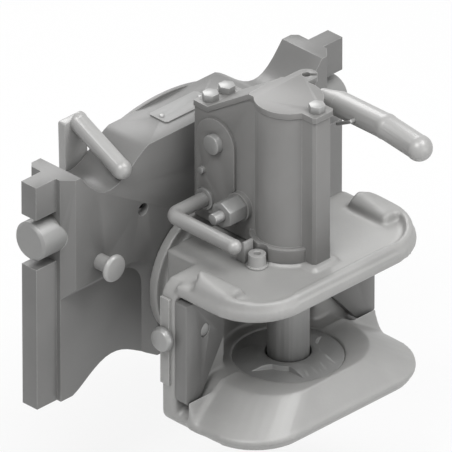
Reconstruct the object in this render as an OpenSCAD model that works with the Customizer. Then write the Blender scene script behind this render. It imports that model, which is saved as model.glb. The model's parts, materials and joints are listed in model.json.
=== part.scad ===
// Automatic pin coupling on a height-adjustable carrier plate.
// Origin: on the coupling pin's axis, halfway up the mouth. +Z is up and the mouth opens towards -Y.

/* [Mouth and pin] */
// Clear height between the lower seat and the upper jaw
mouth_h = 75; // [68:1:90]
// Diameter of the coupling pin
pin_d = 31; // [28:0.5:33]
// How far the closed pin reaches below the seat
pin_reach = 22.5; // [16:0.5:24]
// Half width of the jaws
jaw_half_w = 95; // [85:1:105]
// Reach of the jaws in front of the pin
jaw_front = 61; // [55:1:70]
// Radius of the jaws' front corners
jaw_corner_r = 44; // [35:1:50]
// Thickness of the upper jaw
upper_jaw_t = 13; // [11:0.5:16]
// Height of the raised rim at the front of the upper jaw
rim_h = 4; // [3:0.5:6]
// Height of the raised rim at its two rear ends
rim_rear_h = 10.5; // [6:0.5:12]
// Depth of the lower jaw below the seat
lower_jaw_h = 29; // [26:0.5:34]
// Thickness of the lower jaw's lip
lower_lip_t = 9; // [7:0.5:12]

/* [Tower] */
// Outer radius of the tower around the pin
tower_r = 24; // [22.5:0.5:26]
// Height of the tower and its cover above the upper jaw
tower_h = 125; // [118:1:135]
// Half width of the box behind the tower
box_half_w = 16.5; // [15.5:0.5:18]
// Distance from the pin's axis to the back of the box
box_back = 79; // [78:0.5:80]
// Drop of the box's roof from the top of the tower
roof_drop = 27; // [24:0.5:28]
// Thickness of the cover
cover_t = 4.5; // [3:0.5:6]

/* [Carrier plate] */
// Width over the two tongues
plate_w = 312; // [305:1:320]
// Height of the carrier plate
plate_h = 184; // [178:1:190]
// Height of the carrier plate's top above the pin's mid height
plate_top = 122.5; // [120:0.5:125]
// Thickness of the carrier plate
plate_t = 41; // [40:0.5:46]
// Distance from the pin's axis to the front of the plate
plate_front = 88; // [87:0.5:90]
// Width of each tongue
tongue_w = 20; // [17:0.5:22]
// Thickness of each tongue
tongue_t = 15; // [12:0.5:16]
// Diameter of the locking pins
lock_pin_d = 30; // [26:0.5:31]

/* [Levers] */
// Diameter of the hand lever's grip
grip_d = 19; // [17:0.5:20]
// Diameter of the locking lever's bar
lock_bar_d = 14.5; // [13:0.5:16]
// Diameter of the side lever's rod
side_rod_d = 11; // [9:0.5:12]
// Length of the crank that lifts the pin
crank_len = 59; // [57:0.5:61]

/* [Hidden] */
// Parts list

// Drawing fineness
$fn = 64;
hull_fn = 32;
small_fn = 24;
// Overrun of every cut
over = 2;
// Running gap between a shaft and its bore, on the radius
run_gap = 0.05;
// Gap between two pieces that slide or seat beside each other
seat_gap = 0.3;
// Overlap that welds two pieces of one solid
weld = 1;
// Radius of a rod's knuckle as a share of the rod's radius
knuckle_share = 1.04;

// Places along Z
seat_z = -mouth_h / 2;
roof_z = mouth_h / 2;
jaw_top = roof_z + upper_jaw_t;
lip_bottom = seat_z - lower_jaw_h;
tower_top = jaw_top + tower_h;
cover_under = tower_top - cover_t;
flange_top = tower_top - roof_drop;
flange_under = flange_top - cover_t;
plate_bottom = plate_top - plate_h;
plate_back = plate_front + plate_t;
pin_r = pin_d / 2;
pin_tip = seat_z - pin_reach;

// Upper jaw
rim_w = 8;
rim_step = 2;
rim_step_h = 2.2;
roof_inset = 8;
rim_ear_w = 24;
rim_ear_front = 27;
rim_rear_y = 5.5;
rim_slope_out = 6;
rim_slope_in = 8;
rim_mid_h = 5.5;
rim_rise_y = 4;
lip_step = 2;
lip_step_h = 4;
tower_pad_h = 3;
tower_pad_w = 4;
// Lower jaw
funnel_half_w = 62;
funnel_front = 45;
funnel_corner_r = 40;
funnel_skin = 1;
rib_len = 27;
rib_w = 3.5;
rib_reach = 40;
seat_recess_r = 41;
seat_recess_d = 3.5;
ring_gap = 0.3;
ring_lobe_count = 3;
ring_lobe_w = 16;
ring_lobe_h = 2.6;
ring_inner_r = 27;
ring_turn = 30;
// Wall behind the mouth
wing_front = 19;
wing_t = 14;
wing_half_w = 97;
wing_top_r = 16;
wing_low_r = 9;
throat_r = 50;
throat_half_w = 62;
throat_back = 62;
// Neck, swivel flange and retainer
neck_r = 34;
root_neck_r = 46;
flange_r = 55;
flange_t = 8;
neck_out = 12;
retainer_r = 44;
retainer_t = 8;
retainer_screw_pcd = 48;
retainer_screw_r = 4;
retainer_screw_len = 22;
retainer_screw_count = 4;

// Trip flap at the back of the mouth
flap_half_w = 10;
flap_y = 54;
flap_z = 20;
flap_eye_r = 6;
flap_tip_y = 34;
flap_tip_z = -12;
flap_tip_r = 4;
flap_low = flap_tip_z - 12;
flap_pin_r = 3;
flap_pin_half = 24;
throat_lap = 8;

// Bushes in the jaws
bush_wall = 4;
lower_bush_gap = 1.5;

// Cheek plates
cheek_in = 49;
cheek_out = 96.5;
cheek_t = 11.5;
cheek_in_t = 3;
cheek_low = 46;
cheek_chamfer_x = 32;
cheek_chamfer_z = 38;
cheek_tip = 3;
cheek_strip_w = 7.5;
cheek_rivet_r = 5;
cheek_rivet_head_r = 9;
cheek_rivet_head_h = 4;
cheek_rivet_front = 7;
cheek_rivet_z = 8;
cheek_rivet_x = 74;

// Side strips
strip_w = 9;
strip_t = 2;
strip_y = 27;
strip_z = 5;
strip_low = -33;
strip_high = 38;
strip_sunk = 5;
button_r = 9.5;
button_h = 6;
button_pin_r = 3;

// Tower
tower_wall = 3.5;
collar_t = 4;
collar_h = 10.5;
boss_half_w = 9;
boss_front = 35;
boss_bevel = 2;
boss_bolt_y = 28.5;
ear_x = 32;
ear_y = 14;
ear_r = 7;
ear_web = 7;
box_chamfer = 3;
roof_start = 23;
flange_depth = 14;
cover_lip = 1.2;
bolt_r = 3;
bolt_head_r = 6.4;
bolt_head_h = 5.5;
bolt_len = 16;
flange_bolt_x = 8.2;
flange_bolt_in = 8;

// Lever shaft and crank
shaft_y = 55.5;
shaft_below_top = 53;
shaft_z = tower_top - shaft_below_top;
shaft_r = 7.5;
shaft_out_left = 5;
shaft_out_right = 34;
shaft_bush_wall = 2.5;
shaft_bush_lip = 1.5;
closed_angle = 40;
roller_r = 6;
roller_half_w = 4.4;
arm_t = 4;
arm_gap = 0.6;
arm_tip_r = 6;
crank_hub_r = 12;
roller_slot_gap = 2;
arm_slot_half_h = 16;
pin_head_cap = 4;
roller_y = shaft_y - crank_len * cos(closed_angle);
roller_z = shaft_z - crank_len * sin(closed_angle);
arm_in = roller_half_w + arm_gap;
arm_out = arm_in + arm_t;
slot_half_w = arm_out + arm_gap;
pin_top = roller_z + arm_slot_half_h + pin_head_cap;
slot_front = 11;

// Torsion spring around the shaft
spring_wire_r = 1.1;
spring_seat_r = 9;
spring_gap = 0.05;
spring_turns = 3;
spring_sides = 8;
spring_steps = 20;
spring_pitch_share = 1.04;
spring_r = spring_seat_r + spring_gap + spring_wire_r;

// Hand lever: the centre line's places
lever_hub_r = 12;
lever_hub_in = 3;
lever_hub_w = 12;
lever_x = 50;
lever_knee_y = 44;
lever_knee_z = 134;
lever_rise_y = 14;
lever_rise_z = 150.5;
grip_root_y = -2;
grip_bend_y = -49;
grip_end_y = -82;
grip_end_drop = 4.3;
lever_rod_r = 5.5;
grip_band = 4;
grip_groove = 0.8;

// Pull wire between the grip and the hub
wire_r = 1.4;
wire_out = 3.5;
wire_drop = 12.5;
wire_back = 20;
wire_under = 6;
wire_y = -26;

// Side lever
side_y = 66;
side_z = 72.5;
side_out = 37;
side_reach = 64;
side_bend_in = 1.5;
side_bend_r = side_rod_d / 2 + side_bend_in;
side_collar_r = 8.5;
side_collar_w = 4;
side_bore_depth = 12;

// Fittings on the left side of the box
arch_r = 19;
arch_t = 2.5;
arch_low = 62;
peg_r = 2.6;
peg_y = 68;
peg_z = shaft_z - 26.5;
peg_len = 6;
peg_sunk = 3;
stud_y = 31;
stud_z = 80;
stud_r = 4.2;
stud_out = 30;
stud_boss_r = 11;
stud_boss_out = 4;
nut_flat_r = 9;
nut_len = 17;
nut_sides = 6;
foot_screw_x = 34;
foot_screw_y = -2;
foot_screw_r = 4;
foot_head_r = 6.5;
foot_head_h = 9;
foot_socket_r = 3;
foot_socket_d = 4;
foot_washer_r = 8;
foot_washer_h = 1.5;
clip_w = 9;
clip_t = 2.5;
clip_h = 17;
clip_len = 8;

// Carrier plate
edge_bevel = 8;
tongue_back_y = plate_front + edge_bevel + 4 + tongue_t;
tongue_front_y = tongue_back_y - tongue_t;
body_half_w = plate_w / 2 - tongue_w;
back_bevel = 4;
dip_out = body_half_w - 13;
dip_in = 54;
dip_depth = 22;
dip_skew_share = 0.8;
dip_round_share = 1.3;
dip_steps = 14;
notch_out = body_half_w - 12;
notch_in = 46;
notch_h = 17;
centre_rise = 5;
recess_side = 54;
recess_top = 23.5;
recess_r = 20;
recess_slope = 8;
skin = 0.2;
lock_z = 75;
lock_gap_half = 20.5;
side_hole_x = 60;
side_hole_z = 71;
side_hole_r = 5;
side_hole_depth = 6;
// Pocket for the locking mechanism
pocket_half_w = 63;
pocket_low = 42;
pocket_high = 110;
pocket_wall = 12;
label_half_w = 24;
label_y = 109.5;
label_half_d = 9.3;
label_t = 1;
label_bevel = 2;
rivet_r = 1.6;
rivet_head_r = 2.2;
rivet_head_h = 1;
rivet_len = 4;
rivet_in = 4.5;

// Stop knob
knob_x = body_half_w - 32;
knob_z = 46;
knob_shaft_r = 6;
knob_r = 10.5;
knob_neck = 12;
knob_head = 6;
knob_sunk = 10;

// Locking pins, cam and lever
lock_pin_r = lock_pin_d / 2;
lock_axis_y = (tongue_front_y + tongue_back_y) / 2;
lock_pin_in = 61;
lock_pin_bevel = 2;
tail_t = 6;
tail_front = lock_axis_y - 4;
tail_half_h = 8.5;
cam_r = 32;
cam_t = 5;
peg_circle = 26;
cam_peg_r = 4;
cam_angle = 23;
tail_slot_gap = 0.8;
tail_slot_half_h = 6.3;
lock_travel = 2 * peg_circle * sin(cam_angle);
cam_front = lock_axis_y + 10;
lock_shaft_r = 9;
cover_plate_t = 3;
cover_half_w = 74;
cover_low = 38;
cover_shoulder = 16.5;
cover_crown = 2.5;
cover_screw_x = 68;
cover_screw_r = 2.6;
cover_head_r = 5;
cover_screw_len = 12;
cover_screw_low = 50;
cover_screw_high = 97;
lock_arm_t = 7;
lock_arm_gap = 0.5;
lock_arm_r = 15;
lock_tip_r = 2;
lock_tip_out = 11;
lock_tip_in = 5;
lock_elbow_r = 12;
lock_elbow_z = 90;
lock_tip_x = -82;
lock_tip_z = 135.5;
lock_bar_end_y = 88;
lock_bar_drop = 22;
lock_arm_front = plate_back + cover_plate_t + lock_arm_gap;

// A cylinder from one point to another
module rod(a, b, r, r2 = -1) {
    d = b - a;
    len = norm(d);
    translate(a)
        rotate([0, acos(d[2] / len), atan2(d[1], d[0])])
            cylinder(h = len, r1 = r, r2 = r2 < 0 ? r : r2);
}

// A cylinder along X between two places
module bar_x(x0, x1, y, z, r) {
    translate([x0, y, z])
        rotate([0, 90, 0])
            cylinder(h = x1 - x0, r = r);
}

// A cylinder along Y between two places
module bar_y(x, y0, y1, z, r) {
    translate([x, y0, z])
        rotate([-90, 0, 0])
            cylinder(h = y1 - y0, r = r);
}

// A box between two corners
module block(low, high) {
    translate(low)
        cube(high - low);
}

// A flat shape drawn in X and Z, from y0 back to y1
module upright(y0, y1) {
    translate([0, y1, 0])
        rotate([90, 0, 0])
            linear_extrude(height = y1 - y0)
                children();
}

// A flat shape drawn in Y and Z, from x0 to x1
module sideways(x0, x1) {
    translate([x0, 0, 0])
        rotate([90, 0, 90])
            linear_extrude(height = x1 - x0)
                children();
}

// Both sides of the middle plane
module both_sides() {
    children();
    mirror([1, 0, 0])
        children();
}

// The plan of a jaw: square at the back and with two round front corners
module jaw_plan(half_w, front, back, r) {
    translate([-half_w, r - front])
        square([2 * half_w, front - r + back]);
    translate([r - half_w, -front])
        square([2 * (half_w - r), r + back]);
    for (s = [-1, 1])
        translate([s * (half_w - r), r - front])
            circle(r = r);
}

// Outline of the tower in plan: round in front, a rib for the bolt, an ear and a box behind
module tower_plan(grow) {
    circle(r = tower_r + grow);
    polygon([
        [-boss_half_w - grow + boss_bevel, -boss_front - grow],
        [boss_half_w + grow - boss_bevel, -boss_front - grow],
        [boss_half_w + grow, -boss_front - grow + boss_bevel],
        [boss_half_w + grow, 0],
        [-boss_half_w - grow, 0],
        [-boss_half_w - grow, -boss_front - grow + boss_bevel]
    ]);
    translate([ear_x, ear_y])
        circle(r = ear_r + grow);
    translate([0, ear_y - ear_web - grow])
        square([ear_x, 2 * (ear_web + grow)]);
    translate([-box_half_w, 0])
        square([2 * box_half_w, roof_start + grow]);
}

// The roof line of the box, seen from the side, from the tower back to the flange
function roof_line(lift) = [
    [0, tower_top + lift],
    [roof_start, tower_top + lift],
    [box_back - flange_depth, flange_top + lift],
    [box_back, flange_top + lift]
];

// Carrier plate

function dip_x(t) = -dip_out + (dip_out - dip_in) * t;
function dip_z(t) = plate_top - dip_depth * pow(sin(180 * pow(t, dip_skew_share)), dip_round_share);
function notch_x(t) = -notch_out + (notch_out - notch_in) * t;
function notch_z(t) = plate_bottom + centre_rise * t + notch_h * pow(sin(180 * t), dip_round_share);
dip_line = [for (i = [0 : dip_steps]) [dip_x(i / dip_steps), dip_z(i / dip_steps)]];
notch_line = [for (i = [dip_steps : -1 : 0]) [notch_x(i / dip_steps), notch_z(i / dip_steps)]];

module plate_outline() {
    half = concat(
        [[-body_half_w, plate_top]], dip_line, [[0, plate_top]],
        [[0, plate_bottom + centre_rise]], notch_line, [[-body_half_w, plate_bottom]]
    );
    polygon(half);
    mirror([1, 0])
        polygon(half);
}

module plate_plan() {
    polygon([
        [-body_half_w, plate_front + edge_bevel],
        [-body_half_w + edge_bevel, plate_front],
        [body_half_w - edge_bevel, plate_front],
        [body_half_w, plate_front + edge_bevel],
        [body_half_w, plate_back - back_bevel],
        [body_half_w - back_bevel, plate_back],
        [-body_half_w + back_bevel, plate_back],
        [-body_half_w, plate_back - back_bevel]
    ]);
}

// A recess in the lower corner of the front face, with a sloping edge
module corner_recess() {
    hull() {
        recess_slab(plate_front - over, recess_slope + over);
        recess_slab(plate_front + recess_slope - skin, 0);
    }
}

module recess_slab(y, grow) {
    upright(y, y + skin) {
        translate([-recess_side - recess_r, recess_top - recess_r])
            circle(r = recess_r + grow, $fn = hull_fn);
        translate([-body_half_w - over, plate_bottom - over])
            square([over, recess_top + grow - plate_bottom + over]);
        translate([-body_half_w - over, plate_bottom - over])
            square([body_half_w + over - recess_side + grow, over]);
    }
}

module tongue() {
    block([-plate_w / 2, tongue_front_y, plate_bottom],
        [-body_half_w + weld, tongue_back_y, lock_z - lock_gap_half]);
    block([-plate_w / 2, tongue_front_y, lock_z + lock_gap_half],
        [-body_half_w + weld, tongue_back_y, plate_top]);
}

module carrier_plate() {
    color("dimgray")
        difference() {
            union() {
                intersection() {
                    upright(plate_front, plate_back)
                        plate_outline();
                    translate([0, 0, plate_bottom - over])
                        linear_extrude(height = plate_h + 2 * over)
                            plate_plan();
                }
                both_sides()
                    tongue();
            }
            both_sides()
                corner_recess();
            // Bore for the swivelling neck
            bar_y(0, plate_front - over, plate_back + over, 0, neck_r + run_gap);
            // Bores for the locking pins
            both_sides()
                bar_x(-plate_w / 2 - over, lock_travel + over - lock_pin_in, lock_axis_y, lock_z,
                    lock_pin_r + run_gap);
            // Pocket for the locking mechanism
            block([-pocket_half_w, plate_front + pocket_wall, pocket_low],
                [pocket_half_w, plate_back + over, pocket_high]);
            // Plain holes in the front face
            both_sides()
                bar_y(side_hole_x, plate_front - over, plate_front + side_hole_depth, side_hole_z, side_hole_r);
            bar_y(-knob_x, plate_front - over, plate_front + knob_sunk, knob_z, knob_shaft_r);
            for (x = [-1, 1])
                for (z = [cover_screw_low, cover_screw_high])
                    bar_y(x * cover_screw_x, plate_back - cover_screw_len, plate_back + over, z, cover_screw_r);
            both_sides()
                translate([label_half_w - rivet_in, label_y, plate_top - rivet_len])
                    cylinder(h = rivet_len + over, r = rivet_r, $fn = small_fn);
        }
}

module type_plate() {
    color("darkgray")
        difference() {
            translate([0, label_y, plate_top])
                linear_extrude(height = label_t)
                    polygon([
                        [-label_half_w + label_bevel, -label_half_d],
                        [label_half_w - label_bevel, -label_half_d],
                        [label_half_w, -label_half_d + label_bevel],
                        [label_half_w, label_half_d - label_bevel],
                        [label_half_w - label_bevel, label_half_d],
                        [-label_half_w + label_bevel, label_half_d],
                        [-label_half_w, label_half_d - label_bevel],
                        [-label_half_w, -label_half_d + label_bevel]
                    ]);
            both_sides()
                translate([label_half_w - rivet_in, label_y, plate_top - over])
                    cylinder(h = label_t + 2 * over, r = rivet_r, $fn = small_fn);
        }
}

module type_plate_rivets() {
    color("silver")
        both_sides()
            translate([label_half_w - rivet_in, label_y, plate_top - rivet_len]) {
                cylinder(h = rivet_len + label_t, r = rivet_r, $fn = small_fn);
                translate([0, 0, rivet_len + label_t])
                    cylinder(h = rivet_head_h, r1 = rivet_head_r, r2 = rivet_r, $fn = small_fn);
            }
}

module stop_knob() {
    color("gray") {
        bar_y(-knob_x, plate_front - knob_neck, plate_front + knob_sunk, knob_z, knob_shaft_r);
        translate([-knob_x, plate_front - knob_neck, knob_z])
            rotate([90, 0, 0])
                rotate_extrude()
                    polygon([
                        [0, 0],
                        [knob_r * cos(30), 0],
                        [knob_r, knob_head / 4],
                        [knob_r, knob_head / 2],
                        [knob_r * cos(30), knob_head * 4 / 5],
                        [0, knob_head]
                    ]);
    }
}

// Rear cover over the locking mechanism

module rear_cover_outline() {
    rise = cover_shoulder + cover_crown;
    arch_radius = (cover_half_w * cover_half_w + rise * rise) / (2 * rise);
    intersection() {
        translate([0, plate_top + cover_crown - arch_radius])
            circle(r = arch_radius, $fn = 2 * $fn);
        translate([-cover_half_w, cover_low])
            square([2 * cover_half_w, plate_h]);
    }
}

module rear_cover() {
    color("gray")
        difference() {
            upright(plate_back, plate_back + cover_plate_t)
                difference() {
                    rear_cover_outline();
                    circle(r = retainer_r + seat_gap);
                    translate([0, lock_z])
                        circle(r = lock_shaft_r + run_gap);
                }
            for (x = [-1, 1])
                for (z = [cover_screw_low, cover_screw_high])
                    rod([x * cover_screw_x, plate_back, z],
                        [x * cover_screw_x, plate_back + cover_plate_t, z], cover_screw_r, cover_head_r);
        }
}

module rear_cover_screws() {
    color("silver")
        for (x = [-1, 1])
            for (z = [cover_screw_low, cover_screw_high]) {
                bar_y(x * cover_screw_x, plate_back - cover_screw_len + over, plate_back, z, cover_screw_r);
                rod([x * cover_screw_x, plate_back, z],
                    [x * cover_screw_x, plate_back + cover_plate_t, z], cover_screw_r, cover_head_r);
            }
}

// Locking pins: each has a flat tail whose slot takes a peg of the cam

module lock_pin(peg_x, peg_z) {
    slot_half_w = cam_peg_r + tail_slot_gap;
    difference() {
        union() {
            translate([-plate_w / 2, lock_axis_y, lock_z])
                rotate([0, 90, 0]) {
                    cylinder(h = lock_pin_bevel, r1 = lock_pin_r - lock_pin_bevel, r2 = lock_pin_r);
                    translate([0, 0, lock_pin_bevel])
                        cylinder(h = plate_w / 2 - lock_pin_in - lock_pin_bevel, r = lock_pin_r);
                }
            // Upright part of the tail, at the pin's end
            block([-lock_pin_in - weld, tail_front, min(lock_z, peg_z) - tail_half_h],
                [-lock_pin_in + 2 * tail_half_h, tail_front + tail_t, max(lock_z, peg_z) + tail_half_h]);
            // Arm to the peg
            block([-lock_pin_in, tail_front, peg_z - tail_half_h],
                [peg_x + 2 * tail_half_h - cam_peg_r, tail_front + tail_t, peg_z + tail_half_h]);
        }
        block([peg_x - slot_half_w, tail_front - over, peg_z - tail_slot_half_h],
            [peg_x + slot_half_w, tail_front + tail_t + over, peg_z + tail_slot_half_h]);
    }
}

lock_peg_x = -peg_circle * sin(cam_angle);
lock_peg_z = peg_circle * cos(cam_angle);

module left_lock_pin() {
    color("silver")
        lock_pin(lock_peg_x, lock_z + lock_peg_z);
}

module right_lock_pin() {
    color("silver")
        mirror([1, 0, 0])
            lock_pin(lock_peg_x, lock_z - lock_peg_z);
}

module lock_cam() {
    color("gray") {
        bar_y(0, cam_front, cam_front + cam_t, lock_z, cam_r);
        bar_y(0, cam_front, lock_arm_front + weld, lock_z, lock_shaft_r);
        for (s = [-1, 1])
            bar_y(-s * lock_peg_x, tail_front + over, cam_front + weld, lock_z - s * lock_peg_z, cam_peg_r);
    }
}

module lock_lever() {
    color("gray")
        difference() {
            upright(lock_arm_front, lock_arm_front + lock_arm_t)
                {
                    hull() {
                        translate([0, lock_z])
                            circle(r = lock_arm_r, $fn = hull_fn);
                        translate([lock_tip_x, lock_elbow_z])
                            circle(r = lock_elbow_r, $fn = hull_fn);
                    }
                    hull() {
                        translate([lock_tip_x, lock_elbow_z])
                            circle(r = lock_elbow_r, $fn = hull_fn);
                        for (x = [-lock_tip_out, lock_tip_in])
                            translate([lock_tip_x + x, lock_tip_z])
                                circle(r = lock_tip_r, $fn = hull_fn);
                    }
                }
            bar_y(0, lock_arm_front - over, lock_arm_front + weld, lock_z, lock_shaft_r);
        }
}

module lock_grip() {
    start = [lock_tip_x, lock_arm_front, lock_tip_z];
    end = [lock_tip_x, lock_bar_end_y, lock_tip_z - lock_bar_drop];
    color("darkgray")
        difference() {
            union() {
                rod(start, end, lock_bar_d / 2);
                translate(end)
                    sphere(r = lock_bar_d / 2 * knuckle_share);
                translate(start)
                    sphere(r = lock_bar_d / 2 * knuckle_share);
            }
            block([lock_tip_x - lock_bar_d, lock_arm_front, lock_tip_z - lock_bar_d],
                [lock_tip_x + lock_bar_d, lock_arm_front + lock_bar_d, lock_tip_z + lock_bar_d]);
        }
}

// Jaw: the forging with both jaws, the wall behind the mouth and the swivelling neck

module funnel_slab(half_w, front, r, z, h) {
    translate([0, 0, z])
        linear_extrude(height = h)
            jaw_plan(half_w, front, wing_front, r, $fn = hull_fn);
}

// Sloping floor of the lower jaw
module funnel() {
    hull() {
        funnel_slab(funnel_half_w, funnel_front, funnel_corner_r, seat_z - funnel_skin, funnel_skin);
        funnel_slab(jaw_half_w - funnel_skin, jaw_front - funnel_skin, jaw_corner_r - funnel_skin,
            lip_bottom + lower_lip_t - funnel_skin, funnel_skin);
    }
}

// Upright ribs at the funnel's front corners
module funnel_ribs() {
    for (s = [-1, 1])
        hull()
            for (p = [[rib_len, -rib_reach, seat_z], [rib_len + rib_w, -jaw_front + rib_w, lip_bottom + lower_lip_t]])
                translate([s * p[0], p[1], p[2] - rib_w])
                    cylinder(h = rib_w, r = rib_w / 2, $fn = small_fn);
}

// The rim seen from the front: low in the middle, with a sloped crown at each end
module rim_crown() {
    half_w = jaw_half_w - rim_step;
    inner = jaw_half_w - rim_ear_w;
    upright(-jaw_front - over, wing_front)
        polygon([
            [-half_w, jaw_top - weld],
            [-half_w, jaw_top + rim_mid_h],
            [-half_w + rim_slope_out, jaw_top + rim_rear_h],
            [-inner - rim_slope_in, jaw_top + rim_rear_h],
            [-inner, jaw_top + rim_mid_h],
            [inner, jaw_top + rim_mid_h],
            [inner + rim_slope_in, jaw_top + rim_rear_h],
            [half_w - rim_slope_out, jaw_top + rim_rear_h],
            [half_w, jaw_top + rim_mid_h],
            [half_w, jaw_top - weld]
        ]);
}

// Side view of the rim: low in front and high at the back
module rim_profile() {
    sideways(-jaw_half_w - over, jaw_half_w + over)
        polygon([
            [-jaw_front - over, jaw_top - weld],
            [wing_front, jaw_top - weld],
            [wing_front, jaw_top + rim_rear_h],
            [rim_rise_y, jaw_top + rim_rear_h],
            [-jaw_front - over, jaw_top + rim_h]
        ]);
}

module upper_rim() {
    intersection() {
        translate([0, 0, jaw_top - weld])
            linear_extrude(height = rim_rear_h + 2 * weld)
                difference() {
                    jaw_plan(jaw_half_w - rim_step, jaw_front - rim_step, rim_rear_y, jaw_corner_r - rim_step);
                    difference() {
                        jaw_plan(jaw_half_w - rim_w, jaw_front - rim_w, wing_front + over, jaw_corner_r - rim_w);
                        for (s = [-1, 1])
                            translate([s * jaw_half_w - rim_ear_w, -rim_ear_front])
                                square([2 * rim_ear_w, 2 * wing_front]);
                    }
                }
        rim_profile();
        rim_crown();
    }
}

// The wall behind the mouth seen from the front, with rounded top and bottom corners
module wing_outline() {
    for (s = [-1, 1])
        for (p = [[wing_top_r, jaw_top - wing_top_r], [wing_low_r, lip_bottom + wing_low_r]])
            translate([s * (wing_half_w - p[0]), p[1]])
                circle(r = p[0]);
    translate([-wing_half_w, lip_bottom + wing_low_r])
        square([2 * wing_half_w, jaw_top - wing_top_r - lip_bottom - wing_low_r]);
    translate([wing_top_r - wing_half_w, lip_bottom + wing_low_r])
        square([2 * (wing_half_w - wing_top_r), jaw_top - lip_bottom - wing_low_r]);
    translate([wing_low_r - wing_half_w, lip_bottom])
        square([2 * (wing_half_w - wing_low_r), wing_low_r + weld]);
}

module jaw() {
    color("gray")
        difference() {
            union() {
                // Lower jaw, with a step along its lip
                translate([0, 0, lip_bottom + lip_step_h])
                    linear_extrude(height = lower_lip_t - lip_step_h)
                        jaw_plan(jaw_half_w, jaw_front, wing_front + weld, jaw_corner_r);
                translate([0, 0, lip_bottom])
                    linear_extrude(height = lower_lip_t)
                        jaw_plan(jaw_half_w - lip_step, jaw_front - lip_step, wing_front + weld,
                            jaw_corner_r - lip_step);
                funnel();
                funnel_ribs();
                // Upper jaw, with steps below and above its bead
                translate([0, 0, roof_z + 2 * rim_step_h])
                    linear_extrude(height = upper_jaw_t - 3 * rim_step_h + weld)
                        jaw_plan(jaw_half_w, jaw_front, wing_front + weld, jaw_corner_r);
                translate([0, 0, roof_z + rim_step_h])
                    linear_extrude(height = upper_jaw_t - rim_step_h)
                        jaw_plan(jaw_half_w - rim_step, jaw_front - rim_step, wing_front + weld,
                            jaw_corner_r - rim_step);
                translate([0, 0, roof_z])
                    linear_extrude(height = upper_jaw_t)
                        jaw_plan(jaw_half_w - roof_inset, jaw_front - roof_inset, wing_front + weld,
                            jaw_corner_r - roof_inset);
                upper_rim();
                translate([0, 0, jaw_top - weld])
                    linear_extrude(height = tower_pad_h + weld)
                        tower_plan(tower_pad_w);
                // Wall behind the mouth
                upright(wing_front, wing_front + wing_t)
                    wing_outline();
                block([-throat_half_w, wing_front + weld, lip_bottom + lower_lip_t],
                    [throat_half_w, throat_back, jaw_top]);
                // Neck with its swivel flange
                bar_y(0, throat_back - weld, plate_front - seat_gap, 0, root_neck_r);
                bar_y(0, plate_front - seat_gap - flange_t, plate_front - seat_gap, 0, flange_r);
                bar_y(0, plate_front - weld, plate_back + seat_gap, 0, neck_r);
            }
            // Throat around the pin
            translate([0, 0, seat_z])
                cylinder(h = mouth_h, r = throat_r, $fn = 2 * $fn);
            // Slot for the trip flap and the bore for its pin
            block([-flap_half_w - seat_gap, throat_r - throat_lap, flap_low - over],
                [flap_half_w + seat_gap, flap_y + flap_eye_r + seat_gap, flap_z + flap_eye_r + over]);
            bar_x(-flap_pin_half, flap_pin_half, flap_y, flap_z, flap_pin_r);
            // Recess of the seat ring
            translate([0, 0, seat_z - seat_recess_d])
                cylinder(h = seat_recess_d + over, r = seat_recess_r);
            // Bores of the two bushes
            translate([0, 0, lip_bottom - over])
                cylinder(h = lower_jaw_h + 2 * over, r = pin_r + bush_wall);
            translate([0, 0, roof_z - over])
                cylinder(h = upper_jaw_t + tower_pad_h + 2 * over, r = pin_r + bush_wall);
            // Holes for the retainer's screws
            for (i = [0 : retainer_screw_count - 1])
                rotate([0, i * 360 / retainer_screw_count + 45, 0])
                    bar_y(retainer_screw_pcd / 2, plate_back - retainer_screw_len, plate_back + over, 0,
                        retainer_screw_r);
            // Holes for the cheeks' rivets
            both_sides()
                bar_y(cheek_rivet_x, wing_front - over, wing_front + wing_t + over, cheek_rivet_z,
                    cheek_rivet_r + run_gap);
            // Hole for the foot screw and a pocket in the pad for its washer
            translate([-foot_screw_x, foot_screw_y, roof_z - over])
                cylinder(h = upper_jaw_t + 2 * over, r = foot_screw_r);
            translate([-foot_screw_x, foot_screw_y, jaw_top])
                cylinder(h = tower_pad_h + over, r = foot_washer_r + seat_gap);
            // Holes for the side strips' buttons
            both_sides()
                bar_x(wing_half_w - strip_sunk, wing_half_w + over, strip_y, strip_z, button_pin_r);
        }
}

// Flap at the back of the mouth, which the drawbar's eye pushes back
module trip_flap() {
    color("dimgray")
        sideways(-flap_half_w, flap_half_w)
            difference() {
                hull() {
                    translate([flap_y, flap_z])
                        circle(r = flap_eye_r, $fn = hull_fn);
                    translate([flap_tip_y, flap_tip_z])
                        circle(r = flap_tip_r, $fn = hull_fn);
                }
                translate([flap_y, flap_z])
                    circle(r = flap_pin_r + run_gap);
            }
}

module trip_flap_pin() {
    color("silver")
        bar_x(-flap_pin_half, flap_pin_half, flap_y, flap_z, flap_pin_r);
}

// Seat ring in the lower jaw, with three raised lobes
module seat_ring() {
    color("darkgray")
        difference() {
            union() {
                translate([0, 0, seat_z - seat_recess_d])
                    cylinder(h = seat_recess_d - ring_lobe_h / 2, r = seat_recess_r - ring_gap);
                for (i = [0 : ring_lobe_count - 1])
                    intersection() {
                        translate([0, 0, seat_z - seat_recess_d])
                            cylinder(h = seat_recess_d + ring_lobe_h, r1 = seat_recess_r - ring_gap,
                                r2 = ring_inner_r);
                        rotate([0, 0, ring_turn + i * 360 / ring_lobe_count])
                            block([0, -ring_lobe_w, seat_z - seat_recess_d],
                                [seat_recess_r, ring_lobe_w, seat_z + ring_lobe_h]);
                    }
                translate([0, 0, seat_z - seat_recess_d])
                    cylinder(h = seat_recess_d + ring_lobe_h, r = ring_inner_r - bush_wall);
            }
            translate([0, 0, seat_z - seat_recess_d - over])
                cylinder(h = seat_recess_d + ring_lobe_h + 2 * over, r = pin_r + lower_bush_gap);
        }
}

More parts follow.
